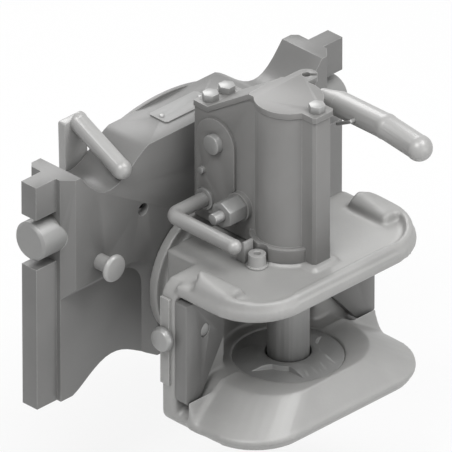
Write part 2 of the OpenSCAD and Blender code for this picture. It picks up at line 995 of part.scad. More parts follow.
module lower_bush() {
    color("silver")
        difference() {
            translate([0, 0, lip_bottom])
                cylinder(h = lower_jaw_h - seat_recess_d, r = pin_r + bush_wall);
            translate([0, 0, lip_bottom - over])
                cylinder(h = lower_jaw_h + 2 * over, r = pin_r + run_gap);
        }
}

module upper_bush() {
    color("silver")
        difference() {
            translate([0, 0, roof_z])
                cylinder(h = upper_jaw_t + tower_pad_h, r = pin_r + bush_wall);
            translate([0, 0, roof_z - over])
                cylinder(h = upper_jaw_t + tower_pad_h + 2 * over, r = pin_r + run_gap);
        }
}

// Cheek plates that guide the drawbar's eye to the pin
module cheek() {
    difference() {
        intersection() {
            upright(wing_front - cheek_t - over, wing_front)
                polygon([
                    [cheek_in, roof_z],
                    [cheek_out, roof_z],
                    [cheek_out, -cheek_low + cheek_tip],
                    [cheek_out - cheek_tip, -cheek_low],
                    [cheek_in + cheek_chamfer_x, -cheek_low],
                    [cheek_in, -cheek_low + cheek_chamfer_z]
                ]);
            translate([0, 0, -cheek_low - over])
                linear_extrude(height = roof_z + cheek_low + 2 * over)
                    polygon([
                        [cheek_in, wing_front],
                        [cheek_in, wing_front - cheek_in_t],
                        [cheek_out - cheek_strip_w, wing_front - cheek_t],
                        [cheek_out, wing_front - cheek_t],
                        [cheek_out, wing_front]
                    ]);
        }
        bar_y(cheek_rivet_x, wing_front - cheek_t - over, wing_front + over, cheek_rivet_z,
            cheek_rivet_r + run_gap);
        translate([0, 0, seat_z])
            cylinder(h = mouth_h + over, r = throat_r, $fn = 2 * $fn);
    }
}

module left_cheek() {
    color("dimgray")
        mirror([1, 0, 0])
            cheek();
}

module right_cheek() {
    color("dimgray")
        cheek();
}

module cheek_rivets() {
    color("silver")
        both_sides() {
            bar_y(cheek_rivet_x, wing_front - cheek_rivet_front, wing_front + wing_t, cheek_rivet_z,
                cheek_rivet_r);
            translate([cheek_rivet_x, wing_front + wing_t, cheek_rivet_z])
                rotate([-90, 0, 0])
                    cylinder(h = cheek_rivet_head_h, r1 = cheek_rivet_head_r, r2 = cheek_rivet_r);
        }
}

// Upright strip on the outside of each side wall, held by a button
module side_strips() {
    color("gray")
        both_sides()
            difference() {
                block([wing_half_w, strip_y - strip_w / 2, strip_low],
                    [wing_half_w + strip_t, strip_y + strip_w / 2, strip_high]);
                bar_x(wing_half_w - over, wing_half_w + strip_t + over, strip_y, strip_z, button_pin_r);
            }
}

module side_buttons() {
    color("silver")
        both_sides()
            translate([wing_half_w, strip_y, strip_z])
                rotate([0, 90, 0])
                    rotate_extrude()
                        polygon([
                            [0, -strip_sunk],
                            [button_pin_r, -strip_sunk],
                            [button_pin_r, strip_t],
                            [button_r, strip_t],
                            [button_r, strip_t + button_h / 2],
                            [button_r * cos(30), strip_t + button_h],
                            [0, strip_t + button_h]
                        ]);
}

// Retainer behind the carrier plate, which keeps the neck in its bore
module retainer_ring() {
    color("gray")
        difference() {
            bar_y(0, plate_back + seat_gap, plate_back + seat_gap + retainer_t, 0, retainer_r);
            for (i = [0 : retainer_screw_count - 1])
                rotate([0, i * 360 / retainer_screw_count + 45, 0])
                    bar_y(retainer_screw_pcd / 2, plate_back - over, plate_back + neck_out + over, 0,
                        retainer_screw_r);
        }
}

module retainer_screws() {
    head_from = plate_back + seat_gap + retainer_t;
    color("silver")
        for (i = [0 : retainer_screw_count - 1])
            rotate([0, i * 360 / retainer_screw_count + 45, 0]) {
                bar_y(retainer_screw_pcd / 2, head_from - retainer_screw_len, head_from, 0, retainer_screw_r);
                bar_y(retainer_screw_pcd / 2, head_from, head_from + bolt_head_h, 0, bolt_head_r);
            }
}

// Tower

module tower_box(wall, low, under) {
    sideways(-box_half_w + wall, box_half_w - wall)
        polygon([
            [0, low],
            [0, cover_under - under],
            [roof_start - wall / 2, cover_under - under],
            [box_back - flange_depth - wall / 2, flange_under - under],
            [box_back - wall, flange_under - under],
            [box_back - wall, low]
        ]);
}

module tower() {
    foot = jaw_top + tower_pad_h;
    color("dimgray")
        difference() {
            union() {
                translate([0, 0, foot])
                    linear_extrude(height = cover_under - foot)
                        tower_plan(0);
                tower_box(0, foot, 0);
                // Collar around the foot
                translate([0, 0, foot])
                    cylinder(h = collar_h, r = tower_r + collar_t);
                // Boss around the side stud
                bar_x(-box_half_w - stud_boss_out, -box_half_w + weld, stud_y, stud_z, stud_boss_r);
            }
            // Room for the foot screw's washer and head
            translate([-foot_screw_x, foot_screw_y, jaw_top])
                cylinder(h = tower_pad_h + collar_h + over, r = foot_washer_r + seat_gap);
            // Guide of the pin and the chamber for the crank
            translate([0, 0, foot - over])
                cylinder(h = tower_h + 2 * over, r = pin_r + seat_gap);
            difference() {
                tower_box(tower_wall, foot + weld, 0);
                block([-box_half_w, -over, foot], [box_half_w, tower_wall, tower_top]);
            }
            tower_box(tower_wall, flange_under - tower_wall, -over);
            // Bores for the shaft's bushes
            bar_x(-box_half_w - over, box_half_w + over, shaft_y, shaft_z, shaft_r + shaft_bush_wall);
            // Bore for the side lever
            bar_x(-box_half_w - over, -box_half_w + tower_wall + over, side_y, side_z, side_rod_d / 2 + run_gap);
            bar_x(-box_half_w - stud_boss_out - over, -box_half_w + tower_wall + over, stud_y, stud_z,
                stud_r + run_gap);
            bar_x(-box_half_w - over, -box_half_w + peg_sunk, peg_y, peg_z, peg_r);
            // Holes for the cover's bolts
            translate([0, -boss_bolt_y, cover_under - bolt_len])
                cylinder(h = bolt_len + over, r = bolt_r);
            translate([ear_x, ear_y, cover_under - bolt_len])
                cylinder(h = bolt_len + over, r = bolt_r);
        }
}

module tower_cover() {
    color("darkgray")
        difference() {
            union() {
                translate([0, 0, cover_under])
                    linear_extrude(height = cover_t)
                        tower_plan(cover_lip);
                difference() {
                    sideways(-box_half_w - cover_lip, box_half_w + cover_lip)
                        polygon(concat(
                            roof_line(0),
                            [[box_back, flange_under], [box_back - flange_depth, flange_under]],
                            [[roof_start, cover_under], [0, cover_under]]
                        ));
                    translate([0, 0, cover_under - over])
                        cylinder(h = over, r = pin_r);
                }
            }
            translate([0, -boss_bolt_y, cover_under - over])
                cylinder(h = cover_t + 2 * over, r = bolt_r + seat_gap);
            translate([ear_x, ear_y, cover_under - over])
                cylinder(h = cover_t + 2 * over, r = bolt_r + seat_gap);
            for (s = [-1, 1])
                translate([s * flange_bolt_x, box_back - flange_bolt_in, flange_under - over])
                    cylinder(h = cover_t + 2 * over, r = bolt_r + seat_gap);
        }
}

// A hexagon bolt with its head's seat at the origin
module hex_bolt(shank) {
    translate([0, 0, -shank])
        cylinder(h = shank, r = bolt_r);
    cylinder(h = bolt_head_h, r = bolt_head_r, $fn = nut_sides);
}

module cover_bolts() {
    color("silver") {
        translate([0, -boss_bolt_y, tower_top])
            hex_bolt(bolt_len);
        for (s = [-1, 1])
            translate([s * flange_bolt_x, box_back - flange_bolt_in, flange_top])
                hex_bolt(cover_t);
    }
}

module shaft_bushes() {
    color("goldenrod")
        for (s = [-1, 1])
            difference() {
                bar_x(s > 0 ? box_half_w - tower_wall : -box_half_w, s > 0 ? box_half_w : -box_half_w + tower_wall,
                    shaft_y, shaft_z, shaft_r + shaft_bush_wall);
                bar_x(-box_half_w - over, box_half_w + over, shaft_y, shaft_z, shaft_r + run_gap);
            }
}

// Arched cover plate on the left side, around the end of the shaft
module side_cover() {
    color("dimgray")
        difference() {
            sideways(-box_half_w - arch_t, -box_half_w) {
                translate([shaft_y, shaft_z])
                    circle(r = arch_r);
                translate([shaft_y - arch_r, arch_low])
                    square([2 * arch_r, shaft_z - arch_low]);
            }
            bar_x(-box_half_w - arch_t - over, -box_half_w + over, shaft_y, shaft_z, shaft_r + seat_gap);
            bar_x(-box_half_w - arch_t - over, -box_half_w + over, peg_y, peg_z, peg_r);
            bar_x(-box_half_w - arch_t - over, -box_half_w + over, side_y, side_z, side_collar_r + seat_gap);
            bar_x(-box_half_w - arch_t - over, -box_half_w + over, stud_y, stud_z, stud_boss_r + seat_gap);
        }
}

module spring_peg() {
    color("silver")
        bar_x(-box_half_w - arch_t - peg_len + peg_sunk, -box_half_w + peg_sunk, peg_y, peg_z, peg_r);
}

module stud() {
    color("silver")
        bar_x(-box_half_w - stud_out, -box_half_w + tower_wall, stud_y, stud_z, stud_r);
}

module stud_nut() {
    from = -box_half_w - stud_boss_out - nut_len;
    color("silver")
        difference() {
            translate([from, stud_y, stud_z])
                rotate([0, 90, 0])
                    cylinder(h = nut_len, r = nut_flat_r / cos(180 / nut_sides), $fn = nut_sides);
            bar_x(from - over, from + nut_len + over, stud_y, stud_z, stud_r);
        }
}

// Socket-head screw beside the tower's foot
module foot_screw() {
    color("darkgray")
        translate([-foot_screw_x, foot_screw_y, jaw_top])
            difference() {
                union() {
                    translate([0, 0, -upper_jaw_t])
                        cylinder(h = upper_jaw_t + foot_washer_h, r = foot_screw_r);
                    cylinder(h = foot_washer_h, r = foot_washer_r);
                    translate([0, 0, foot_washer_h])
                        cylinder(h = foot_head_h, r = foot_head_r);
                }
                translate([0, 0, foot_washer_h + foot_head_h - foot_socket_d])
                    cylinder(h = foot_socket_d + over, r = foot_socket_r, $fn = nut_sides);
            }
}

// Small upright clip beside the foot screw
module sensor_clip() {
    from_x = -foot_screw_x - clip_w / 2;
    from_y = foot_screw_y + foot_washer_r + seat_gap;
    color("gray") {
        block([from_x, from_y, jaw_top], [from_x + clip_w, from_y + clip_t, jaw_top + clip_h]);
        block([from_x, from_y, jaw_top], [from_x + clip_t, from_y + clip_len, jaw_top + clip_h / 2]);
    }
}

// Torsion spring wound around the crank's hub, between its two arms
function spring_point(i) = let (a = i * 360 / spring_steps) [
    2 * spring_wire_r * spring_pitch_share * (i / spring_steps - spring_turns / 2),
    shaft_y + spring_r * cos(a),
    shaft_z + spring_r * sin(a)
];
function spring_ring(i) = let (a = i * 360 / spring_steps, c = spring_point(i))
    [for (k = [0 : spring_sides - 1]) let (b = k * 360 / spring_sides)
        [
            c[0] + spring_wire_r * cos(b),
            c[1] + spring_wire_r * sin(b) * cos(a),
            c[2] + spring_wire_r * sin(b) * sin(a)
        ]];

module torsion_spring() {
    last = floor(spring_turns * spring_steps);
    points = [for (i = [0 : last]) each spring_ring(i)];
    sides = [for (i = [0 : last - 1]) for (k = [0 : spring_sides - 1])
        [
            i * spring_sides + k,
            i * spring_sides + (k + 1) % spring_sides,
            (i + 1) * spring_sides + (k + 1) % spring_sides,
            (i + 1) * spring_sides + k
        ]];
    first_cap = [for (k = [spring_sides - 1 : -1 : 0]) k];
    last_cap = [for (k = [0 : spring_sides - 1]) last * spring_sides + k];
    color("darkslategray")
        polyhedron(points = points, faces = concat(sides, [first_cap, last_cap]));
}

// Coupling pin, with a slot for the roller and wider slots for the crank's arms
module coupling_pin() {
    tip_h = pin_r / 3;
    color("silver")
        difference() {
            rotate_extrude()
                polygon([
                    [0, pin_tip],
                    [pin_r - tip_h / 2, pin_tip],
                    [pin_r, pin_tip + tip_h],
                    [pin_r, pin_top],
                    [0, pin_top]
                ]);
            block([-slot_half_w, -slot_front, roller_z - roller_r - roller_slot_gap],
                [slot_half_w, pin_r + over, roller_z + roller_r + roller_slot_gap]);
            both_sides()
                block([arm_in - arm_gap, -slot_front, roller_z - arm_slot_half_h],
                    [slot_half_w, pin_r + over, roller_z + arm_slot_half_h]);
        }
}

// Lever shaft and the crank on it

module lever_shaft() {
    color("silver")
        bar_x(-box_half_w - arch_t - shaft_out_left, box_half_w + shaft_out_right - lever_hub_w, shaft_y, shaft_z,
            shaft_r);
}

module crank_arm(from_x) {
    sideways(from_x, from_x + arm_t)
        difference() {
            hull() {
                translate([shaft_y, shaft_z])
                    circle(r = crank_hub_r, $fn = hull_fn);
                translate([roller_y, roller_z])
                    circle(r = arm_tip_r, $fn = hull_fn);
            }
            translate([shaft_y, shaft_z])
                circle(r = shaft_r);
            translate([roller_y, roller_z])
                circle(r = roller_r / 2);
        }
}

module crank() {
    color("gray") {
        crank_arm(arm_in);
        crank_arm(-arm_out);
        difference() {
            bar_x(-arm_in - weld, arm_in + weld, shaft_y, shaft_z, spring_seat_r);
            bar_x(-arm_out, arm_out, shaft_y, shaft_z, shaft_r);
        }
    }
}

module crank_roller() {
    color("silver") {
        bar_x(-roller_half_w, roller_half_w, roller_y, roller_z, roller_r);
        bar_x(-arm_out, arm_out, roller_y, roller_z, roller_r / 2);
    }
}

// Hand lever on the right end of the shaft

lever_hub_x = box_half_w + shaft_out_right - lever_hub_w;

module hand_lever() {
    hub = [lever_hub_x - lever_hub_w / 2, shaft_y, shaft_z];
    knee = [lever_x, lever_knee_y, lever_knee_z];
    rise = [lever_x, lever_rise_y, lever_rise_z];
    root = [lever_x, grip_root_y, lever_rise_z];
    color("gray")
        difference() {
            union() {
                bar_x(lever_hub_x - lever_hub_w, lever_hub_x, shaft_y, shaft_z, lever_hub_r);
                rod(hub, knee, lever_rod_r);
                rod(knee, rise, lever_rod_r);
                rod(rise, root, lever_rod_r, grip_d / 2);
                translate(knee)
                    sphere(r = lever_rod_r * knuckle_share);
                translate(rise)
                    sphere(r = lever_rod_r * knuckle_share);
            }
            bar_x(lever_hub_x - lever_hub_w - over, lever_hub_x + over, shaft_y, shaft_z, shaft_r);
        }
}

module hand_grip() {
    root = [lever_x, grip_root_y, lever_rise_z];
    bend = [lever_x, grip_bend_y, lever_rise_z];
    end = [lever_x, grip_end_y, lever_rise_z - grip_end_drop];
    color("darkgray")
        difference() {
            union() {
                rod(root, bend, grip_d / 2);
                translate(bend)
                    sphere(r = grip_d / 2 * knuckle_share);
                rod(bend, end, grip_d / 2);
                translate(end)
                    sphere(r = grip_d / 2 * knuckle_share);
            }
            // Cross hole for the pull wire
            bar_x(lever_x - grip_d, lever_x, wire_y, lever_rise_z, wire_r + run_gap);
        }
}

// Short bent wire hooked into the grip
module pull_wire() {
    start = [lever_x, wire_y, lever_rise_z];
    turn = [lever_x - grip_d / 2 - wire_out, wire_y, lever_rise_z];
    end = [lever_x - wire_under, wire_y + wire_back, lever_rise_z - wire_drop];
    color("silver") {
        rod(start, turn, wire_r, $fn = small_fn);
        translate(turn)
            sphere(r = wire_r * knuckle_share, $fn = small_fn);
        rod(turn, end, wire_r, $fn = small_fn);
        translate(end)
            sphere(r = wire_r * knuckle_share, $fn = small_fn);
    }
}

// Side lever: a bent rod on the left of the box
module side_lever() {
    elbow_x = -box_half_w - side_out;
    color("darkgray") {
        bar_x(elbow_x + side_bend_r, -box_half_w + tower_wall, side_y, side_z, side_rod_d / 2);
        bar_y(elbow_x, side_y - side_reach, side_y - side_bend_r, side_z, side_rod_d / 2);
        translate([elbow_x + side_bend_r, side_y - side_bend_r, side_z])
            rotate([0, 0, 90])
                rotate_extrude(angle = 90)
                    translate([side_bend_r, 0])
                        circle(r = side_rod_d / 2);
        translate([elbow_x, side_y - side_reach, side_z])
            sphere(r = side_rod_d / 2 * knuckle_share);
    }
}

module side_lever_collar() {
    color("gray")
        difference() {
            bar_x(-box_half_w - side_collar_w, -box_half_w - seat_gap, side_y, side_z, side_collar_r);
            bar_x(-box_half_w - side_collar_w - over, -box_half_w + over, side_y, side_z, side_rod_d / 2);
        }
}

carrier_plate();
type_plate();
type_plate_rivets();
stop_knob();
rear_cover();
rear_cover_screws();
left_lock_pin();
right_lock_pin();
lock_cam();
lock_lever();
lock_grip();
jaw();
seat_ring();
lower_bush();
upper_bush();
left_cheek();
right_cheek();
cheek_rivets();
side_strips();
side_buttons();
retainer_ring();
retainer_screws();
tower();
tower_cover();
cover_bolts();
shaft_bushes();
side_cover();
spring_peg();
stud();
stud_nut();
foot_screw();
sensor_clip();
torsion_spring();
trip_flap();
trip_flap_pin();
coupling_pin();
lever_shaft();
crank();
crank_roller();
hand_lever();
hand_grip();
pull_wire();
side_lever();
side_lever_collar();
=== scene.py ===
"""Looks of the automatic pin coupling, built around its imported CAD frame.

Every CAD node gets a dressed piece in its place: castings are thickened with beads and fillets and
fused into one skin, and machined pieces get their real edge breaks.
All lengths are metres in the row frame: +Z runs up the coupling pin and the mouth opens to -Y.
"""

from __future__ import annotations

import json
import logging
import math
from collections.abc import Callable, Iterable
from dataclasses import dataclass, field
from enum import Enum

import bpy
from mathutils import Matrix, Vector

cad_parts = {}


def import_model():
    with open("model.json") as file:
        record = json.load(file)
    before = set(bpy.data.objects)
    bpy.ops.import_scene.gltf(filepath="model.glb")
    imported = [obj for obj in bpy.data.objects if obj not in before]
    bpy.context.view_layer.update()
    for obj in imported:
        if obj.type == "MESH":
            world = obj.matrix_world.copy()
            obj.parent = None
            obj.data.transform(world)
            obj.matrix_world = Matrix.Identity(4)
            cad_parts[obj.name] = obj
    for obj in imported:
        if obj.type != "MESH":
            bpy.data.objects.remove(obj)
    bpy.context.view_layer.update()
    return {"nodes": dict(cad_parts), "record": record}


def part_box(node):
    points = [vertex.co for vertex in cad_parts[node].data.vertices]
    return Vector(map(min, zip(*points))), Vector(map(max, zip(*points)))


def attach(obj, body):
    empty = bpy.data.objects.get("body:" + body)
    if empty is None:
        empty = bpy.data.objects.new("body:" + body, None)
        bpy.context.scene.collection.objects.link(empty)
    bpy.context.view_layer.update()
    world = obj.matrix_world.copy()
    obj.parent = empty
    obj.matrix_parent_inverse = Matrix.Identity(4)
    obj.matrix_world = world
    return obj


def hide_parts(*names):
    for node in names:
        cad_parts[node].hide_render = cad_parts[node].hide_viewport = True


LOG = logging.getLogger("pin_coupling")
MM = 0.001
Point = tuple[float, float, float]


# Finishes


class Treatment(Enum):
    """How a finish was made, which decides its fine texture."""

    CAST = "cast"
    PAINTED = "painted"
    TURNED = "turned"
    BRUSHED = "brushed"


def new_group(name: str, inputs: dict[str, float], outputs: dict[str, str]) -> bpy.types.NodeTree:
    """Makes an empty shader node group.

    Args:
        name: The group's name.
        inputs: Each float input's name and its default value.
        outputs: Each output's name and its socket type.

    Returns:
        The group, with its Group Input and Group Output nodes.
    """
    group = bpy.data.node_groups.new(name, "ShaderNodeTree")
    for label, value in inputs.items():
        socket = group.interface.new_socket(label, in_out="INPUT", socket_type="NodeSocketFloat")
        socket.default_value = value
    for label, kind in outputs.items():
        group.interface.new_socket(label, in_out="OUTPUT", socket_type=kind)
    group.nodes.new("NodeGroupInput").name = "in"
    group.nodes.new("NodeGroupOutput").name = "out"
    return group


def math_node(tree: bpy.types.NodeTree, operation: str, second: float | None = None) -> bpy.types.Node:
    """Adds a Math node.

    Args:
        tree: The node tree it goes into.
        operation: The Math node's operation.
        second: The value of its second input, where that isn't linked.

    Returns:
        The node.
    """
    node = tree.nodes.new("ShaderNodeMath")
    node.operation = operation
    if second is not None:
        node.inputs[1].default_value = second
    return node


def grain_group() -> bpy.types.NodeTree:
    """Builds the foundry grain: a fine bumpy height and a slow mottling of the paint.

    Returns:
        A group with the inputs Scale and Stretch and the outputs Height and Mottle.
    """
    group = new_group(
        "foundry_grain",
        {"Scale": 600.0, "Stretch": 1.0},
        {"Height": "NodeSocketFloat", "Mottle": "NodeSocketFloat"},
    )
    nodes, links = group.nodes, group.links
    place = nodes.new("ShaderNodeTexCoord")
    stretch = nodes.new("ShaderNodeMapping")
    axes = nodes.new("ShaderNodeCombineXYZ")
    axes.inputs["X"].default_value = 1.0
    axes.inputs["Y"].default_value = 1.0
    fine = nodes.new("ShaderNodeTexNoise")
    fine.inputs["Detail"].default_value = 3.0
    slow = nodes.new("ShaderNodeTexNoise")
    slow.inputs["Scale"].default_value = 28.0
    slow.inputs["Detail"].default_value = 4.0
    links.new(nodes["in"].outputs["Stretch"], axes.inputs["Z"])
    links.new(axes.outputs["Vector"], stretch.inputs["Scale"])
    links.new(place.outputs["Object"], stretch.inputs["Vector"])
    links.new(stretch.outputs["Vector"], fine.inputs["Vector"])
    links.new(nodes["in"].outputs["Scale"], fine.inputs["Scale"])
    links.new(place.outputs["Object"], slow.inputs["Vector"])
    links.new(fine.outputs["Fac"], nodes["out"].inputs["Height"])
    links.new(slow.outputs["Fac"], nodes["out"].inputs["Mottle"])
    return group


def edge_wear_and_highlight_group() -> bpy.types.NodeTree:
    """Builds the edge mask: a broken mask along the outer edges, where a paler colour stands both for
    rubbed paint and for a painted highlight.

    Returns:
        A group with the inputs Width and Amount and the output Mask.
    """
    group = new_group(
        "edge_wear_and_painted_highlight", {"Width": 0.0012, "Amount": 1.0}, {"Mask": "NodeSocketFloat"}
    )
    nodes, links = group.nodes, group.links
    rounded = nodes.new("ShaderNodeBevel")
    rounded.samples = 4
    surface = nodes.new("ShaderNodeNewGeometry")
    agree = nodes.new("ShaderNodeVectorMath")
    agree.operation = "DOT_PRODUCT"
    edge = math_node(group, "SUBTRACT")
    edge.inputs[0].default_value = 1.0
    place = nodes.new("ShaderNodeTexCoord")
    breaks = nodes.new("ShaderNodeTexNoise")
    breaks.inputs["Scale"].default_value = 170.0
    breaks.inputs["Detail"].default_value = 5.0
    broken = math_node(group, "MULTIPLY")
    gained = math_node(group, "MULTIPLY")
    gained.use_clamp = True
    links.new(nodes["in"].outputs["Width"], rounded.inputs["Radius"])
    links.new(rounded.outputs["Normal"], agree.inputs[0])
    links.new(surface.outputs["Normal"], agree.inputs[1])
    links.new(agree.outputs["Value"], edge.inputs[1])
    links.new(place.outputs["Object"], breaks.inputs["Vector"])
    links.new(edge.outputs[0], broken.inputs[0])
    links.new(breaks.outputs["Fac"], broken.inputs[1])
    links.new(broken.outputs[0], gained.inputs[0])
    links.new(nodes["in"].outputs["Amount"], gained.inputs[1])
    links.new(gained.outputs[0], nodes["out"].inputs["Mask"])
    return group


@dataclass(frozen=True)
class Finish:
    """One finish of the coupling's pieces.

    Args:
        name: The material's name.
        colour: The base colour, linear RGB.
        wear_and_highlight_colour: The colour mixed in along the edges, both rubbed paint and a painted
            highlight.
        roughness: The mean roughness.
        metallic: The metallic value.
        treatment: How the surface was made.
        grain_scale: The grain's frequency, in waves a metre.
        grain_depth: The bump's distance in metres.
        wear_and_highlight: How strongly the edges show the paler colour, as rubbed paint and as a painted
            highlight.
    """

    name: str
    colour: Point
    wear_and_highlight_colour: Point
    roughness: float
    metallic: float
    treatment: Treatment
    grain_scale: float = 600.0
    grain_depth: float = 0.0001
    wear_and_highlight: float = 6.0

    def material(self) -> bpy.types.Material:
        """Makes the finish's material once and returns it."""
        known = bpy.data.materials.get(self.name)
        if known is not None:
            return known
        made = bpy.data.materials.new(self.name)
        made.use_nodes = True
        tree = made.node_tree
        shader = tree.nodes["Principled BSDF"]
        shader.inputs["Metallic"].default_value = self.metallic
        grain = self._group(tree, "foundry_grain", grain_group)
        grain.inputs["Scale"].default_value = self.grain_scale
        grain.inputs["Stretch"].default_value = 0.04 if self.treatment is Treatment.BRUSHED else 1.0
        wear_and_highlight = self._group(tree, "edge_wear_and_painted_highlight", edge_wear_and_highlight_group)
        wear_and_highlight.inputs["Amount"].default_value = self.wear_and_highlight
        mottle = tree.nodes.new("ShaderNodeMix")
        mottle.data_type = "RGBA"
        mottle.inputs["A"].default_value = (*[c * 0.86 for c in self.colour], 1.0)
        mottle.inputs["B"].default_value = (*[min(c * 1.12, 1.0) for c in self.colour], 1.0)
        # The paler edge colour is rubbed paint and, in part, a painted highlight along the edges.
        worn_and_highlit = tree.nodes.new("ShaderNodeMix")
        worn_and_highlit.data_type = "RGBA"
        worn_and_highlit.inputs["B"].default_value = (*self.wear_and_highlight_colour, 1.0)
        gloss = tree.nodes.new("ShaderNodeMapRange")
        gloss.inputs["To Min"].default_value = max(self.roughness - 0.07, 0.05)
        gloss.inputs["To Max"].default_value = min(self.roughness + 0.07, 1.0)
        bump = tree.nodes.new("ShaderNodeBump")
        bump.inputs["Strength"].default_value = 0.35
        bump.inputs["Distance"].default_value = self.grain_depth
        tree.links.new(grain.outputs["Mottle"], mottle.inputs["Factor"])
        tree.links.new(mottle.outputs["Result"], worn_and_highlit.inputs["A"])
        tree.links.new(wear_and_highlight.outputs["Mask"], worn_and_highlit.inputs["Factor"])
        tree.links.new(worn_and_highlit.outputs["Result"], shader.inputs["Base Color"])
        tree.links.new(grain.outputs["Mottle"], gloss.inputs["Value"])
        tree.links.new(gloss.outputs["Result"], shader.inputs["Roughness"])
        tree.links.new(grain.outputs["Height"], bump.inputs["Height"])
        tree.links.new(bump.outputs["Normal"], shader.inputs["Normal"])
        return made

    @staticmethod
    def _group(
        tree: bpy.types.NodeTree, name: str, build: Callable[[], bpy.types.NodeTree]
    ) -> bpy.types.Node:
        """Places a shared node group in a material, and builds the group the first time."""
        node = tree.nodes.new("ShaderNodeGroup")
        node.node_tree = bpy.data.node_groups.get(name) or build()
        return node


# Painted shade: the shared cast grey darkened so that the tower's side faces read dark.
TOWER_SHADE_GREY = Finish(
    "tower_cast_paint_painted_shade", (0.190, 0.188, 0.184), (0.40, 0.40, 0.39), 0.44, 0.05, Treatment.CAST,
    grain_scale=420.0, grain_depth=0.00018, wear_and_highlight=5.0,
)
# Painted light: the shared cast grey lightened so that the jaw's slopes read bright; the tower carries the
# darker copy.
JAW_LIT_GREY = Finish(
    "jaw_cast_paint_painted_light", (0.310, 0.308, 0.302), (0.52, 0.52, 0.51), 0.42, 0.08, Treatment.CAST,
    grain_scale=420.0, grain_depth=0.00022, wear_and_highlight=5.0,
)
# Painted shade: a darkened grey so that the plate's upright faces read dark.
PLATE_SHADE_GREY = Finish(
    "plate_grey_painted_shade", (0.162, 0.161, 0.158), (0.38, 0.38, 0.37), 0.43, 0.1, Treatment.PAINTED,
    grain_scale=520.0, grain_depth=0.00015, wear_and_highlight=5.0,
)
# Painted light: the grey lightened so that the levers read bright.
LEVER_LIT_GREY = Finish(
    "lever_grey_painted_light", (0.340, 0.338, 0.333), (0.50, 0.50, 0.49), 0.36, 0.15, Treatment.PAINTED,
    grain_scale=700.0, grain_depth=0.00008, wear_and_highlight=3.0,
)
# Painted light: the steel lightened so that the seat ring reads bright inside the shaded mouth.
TURNED_STEEL_LIT = Finish(
    "turned_steel_painted_light", (0.320, 0.320, 0.316), (0.55, 0.55, 0.54), 0.38, 0.4, Treatment.TURNED,
    grain_scale=1500.0, grain_depth=0.00004, wear_and_highlight=3.0,
)
PIN_STEEL = Finish(
    "pin_steel", (0.26, 0.26, 0.256), (0.45, 0.45, 0.44), 0.45, 0.3, Treatment.BRUSHED,
    grain_scale=900.0, grain_depth=0.00004, wear_and_highlight=2.0,
)
BRONZE = Finish(
    "bush_bronze", (0.42, 0.28, 0.12), (0.6, 0.45, 0.22), 0.35, 0.9, Treatment.TURNED,
    grain_scale=1500.0, grain_depth=0.00003, wear_and_highlight=1.0,
)
LABEL_METAL = Finish(
    "label_metal", (0.24, 0.24, 0.237), (0.42, 0.42, 0.42), 0.5, 0.15, Treatment.BRUSHED,
    grain_scale=1200.0, grain_depth=0.00002, wear_and_highlight=1.0,
)


# Workshop: what every class builds its pieces with


def clear_selection() -> None:
    """Leaves edit mode and deselects every object."""
    if bpy.context.object is not None and bpy.context.object.mode != "OBJECT":
        bpy.ops.object.mode_set(mode="OBJECT")
    bpy.ops.object.select_all(action="DESELECT")


def activate(obj: bpy.types.Object) -> None:
    """Makes one object the only selected and active one."""
    clear_selection()
    obj.select_set(True)
    bpy.context.view_layer.objects.active = obj


def settle(obj: bpy.types.Object) -> None:
    """Puts an object's place into its mesh, so that the object sits at the origin."""
    activate(obj)
    bpy.ops.object.transform_apply(location=True, rotation=True, scale=True)


def primitive(name: str, add: Callable[..., set[str]], **how: object) -> bpy.types.Object:
    """Adds one of Blender's primitives and names it.

    Args:
        name: The new object's name.
        add: The operator that adds it.
        **how: The operator's settings.

    Returns:
        The new object, with its place in its mesh.
    """
    clear_selection()
    add(**how)
    obj = bpy.context.object
    obj.name = name
    settle(obj)
    return obj


def select_faces(obj: bpy.types.Object, chosen: Callable[[Vector, Vector], bool]) -> None:
    """Selects faces by their place and normal, and stays in edit mode.

    Args:
        obj: The object.
        chosen: A test of a face's centre and normal.
    """
    activate(obj)
    bpy.ops.object.mode_set(mode="EDIT")
    bpy.ops.mesh.select_mode(type="FACE")
    bpy.ops.mesh.select_all(action="DESELECT")
    bpy.ops.object.mode_set(mode="OBJECT")
    for face in obj.data.polygons:
        face.select = chosen(face.center, face.normal)
    bpy.ops.object.mode_set(mode="EDIT")


def modifier(obj: bpy.types.Object, kind: str, **settings: object) -> None:
    """Adds a modifier with its settings and applies it."""
    activate(obj)
    made = obj.modifiers.new(kind.lower(), kind)
    for key, value in settings.items():
        setattr(made, key, value)
    bpy.ops.object.modifier_apply(modifier=made.name)


def smooth(obj: bpy.types.Object, angle: float = 32.0) -> None:
    """Shades an object smooth up to an angle, in degrees."""
    activate(obj)
    bpy.ops.object.shade_smooth_by_angle(angle=math.radians(angle))


def weld(obj: bpy.types.Object, flatten: float = 0.6) -> None:
    """Merges a mesh's doubles and dissolves its flat faces into single ones."""
    activate(obj)
    bpy.ops.object.mode_set(mode="EDIT")
    bpy.ops.mesh.select_all(action="SELECT")
    bpy.ops.mesh.remove_doubles(threshold=0.00002)
    bpy.ops.mesh.dissolve_limited(angle_limit=math.radians(flatten))
    bpy.ops.object.mode_set(mode="OBJECT")


def join(obj: bpy.types.Object, extra: Iterable[bpy.types.Object]) -> None:
    """Joins other objects into one."""
    activate(obj)
    for other in extra:
        other.select_set(True)
    bpy.context.view_layer.objects.active = obj
    bpy.ops.object.join()


def carve(obj: bpy.types.Object, tool: bpy.types.Object, operation: str = "DIFFERENCE") -> None:
    """Cuts a tool's form out of an object, or adds it, and throws the tool away."""
    modifier(obj, "BOOLEAN", operation=operation, object=tool, solver="EXACT")
    bpy.data.objects.remove(tool)


def soften(obj: bpy.types.Object, chosen: Callable[[Vector, Vector], bool], times: int) -> None:
    """Smooths a part of a skin, which select_faces chooses, a number of times."""
    select_faces(obj, chosen)
    bpy.ops.mesh.vertices_smooth(factor=0.5, repeat=times)
    bpy.ops.object.mode_set(mode="OBJECT")


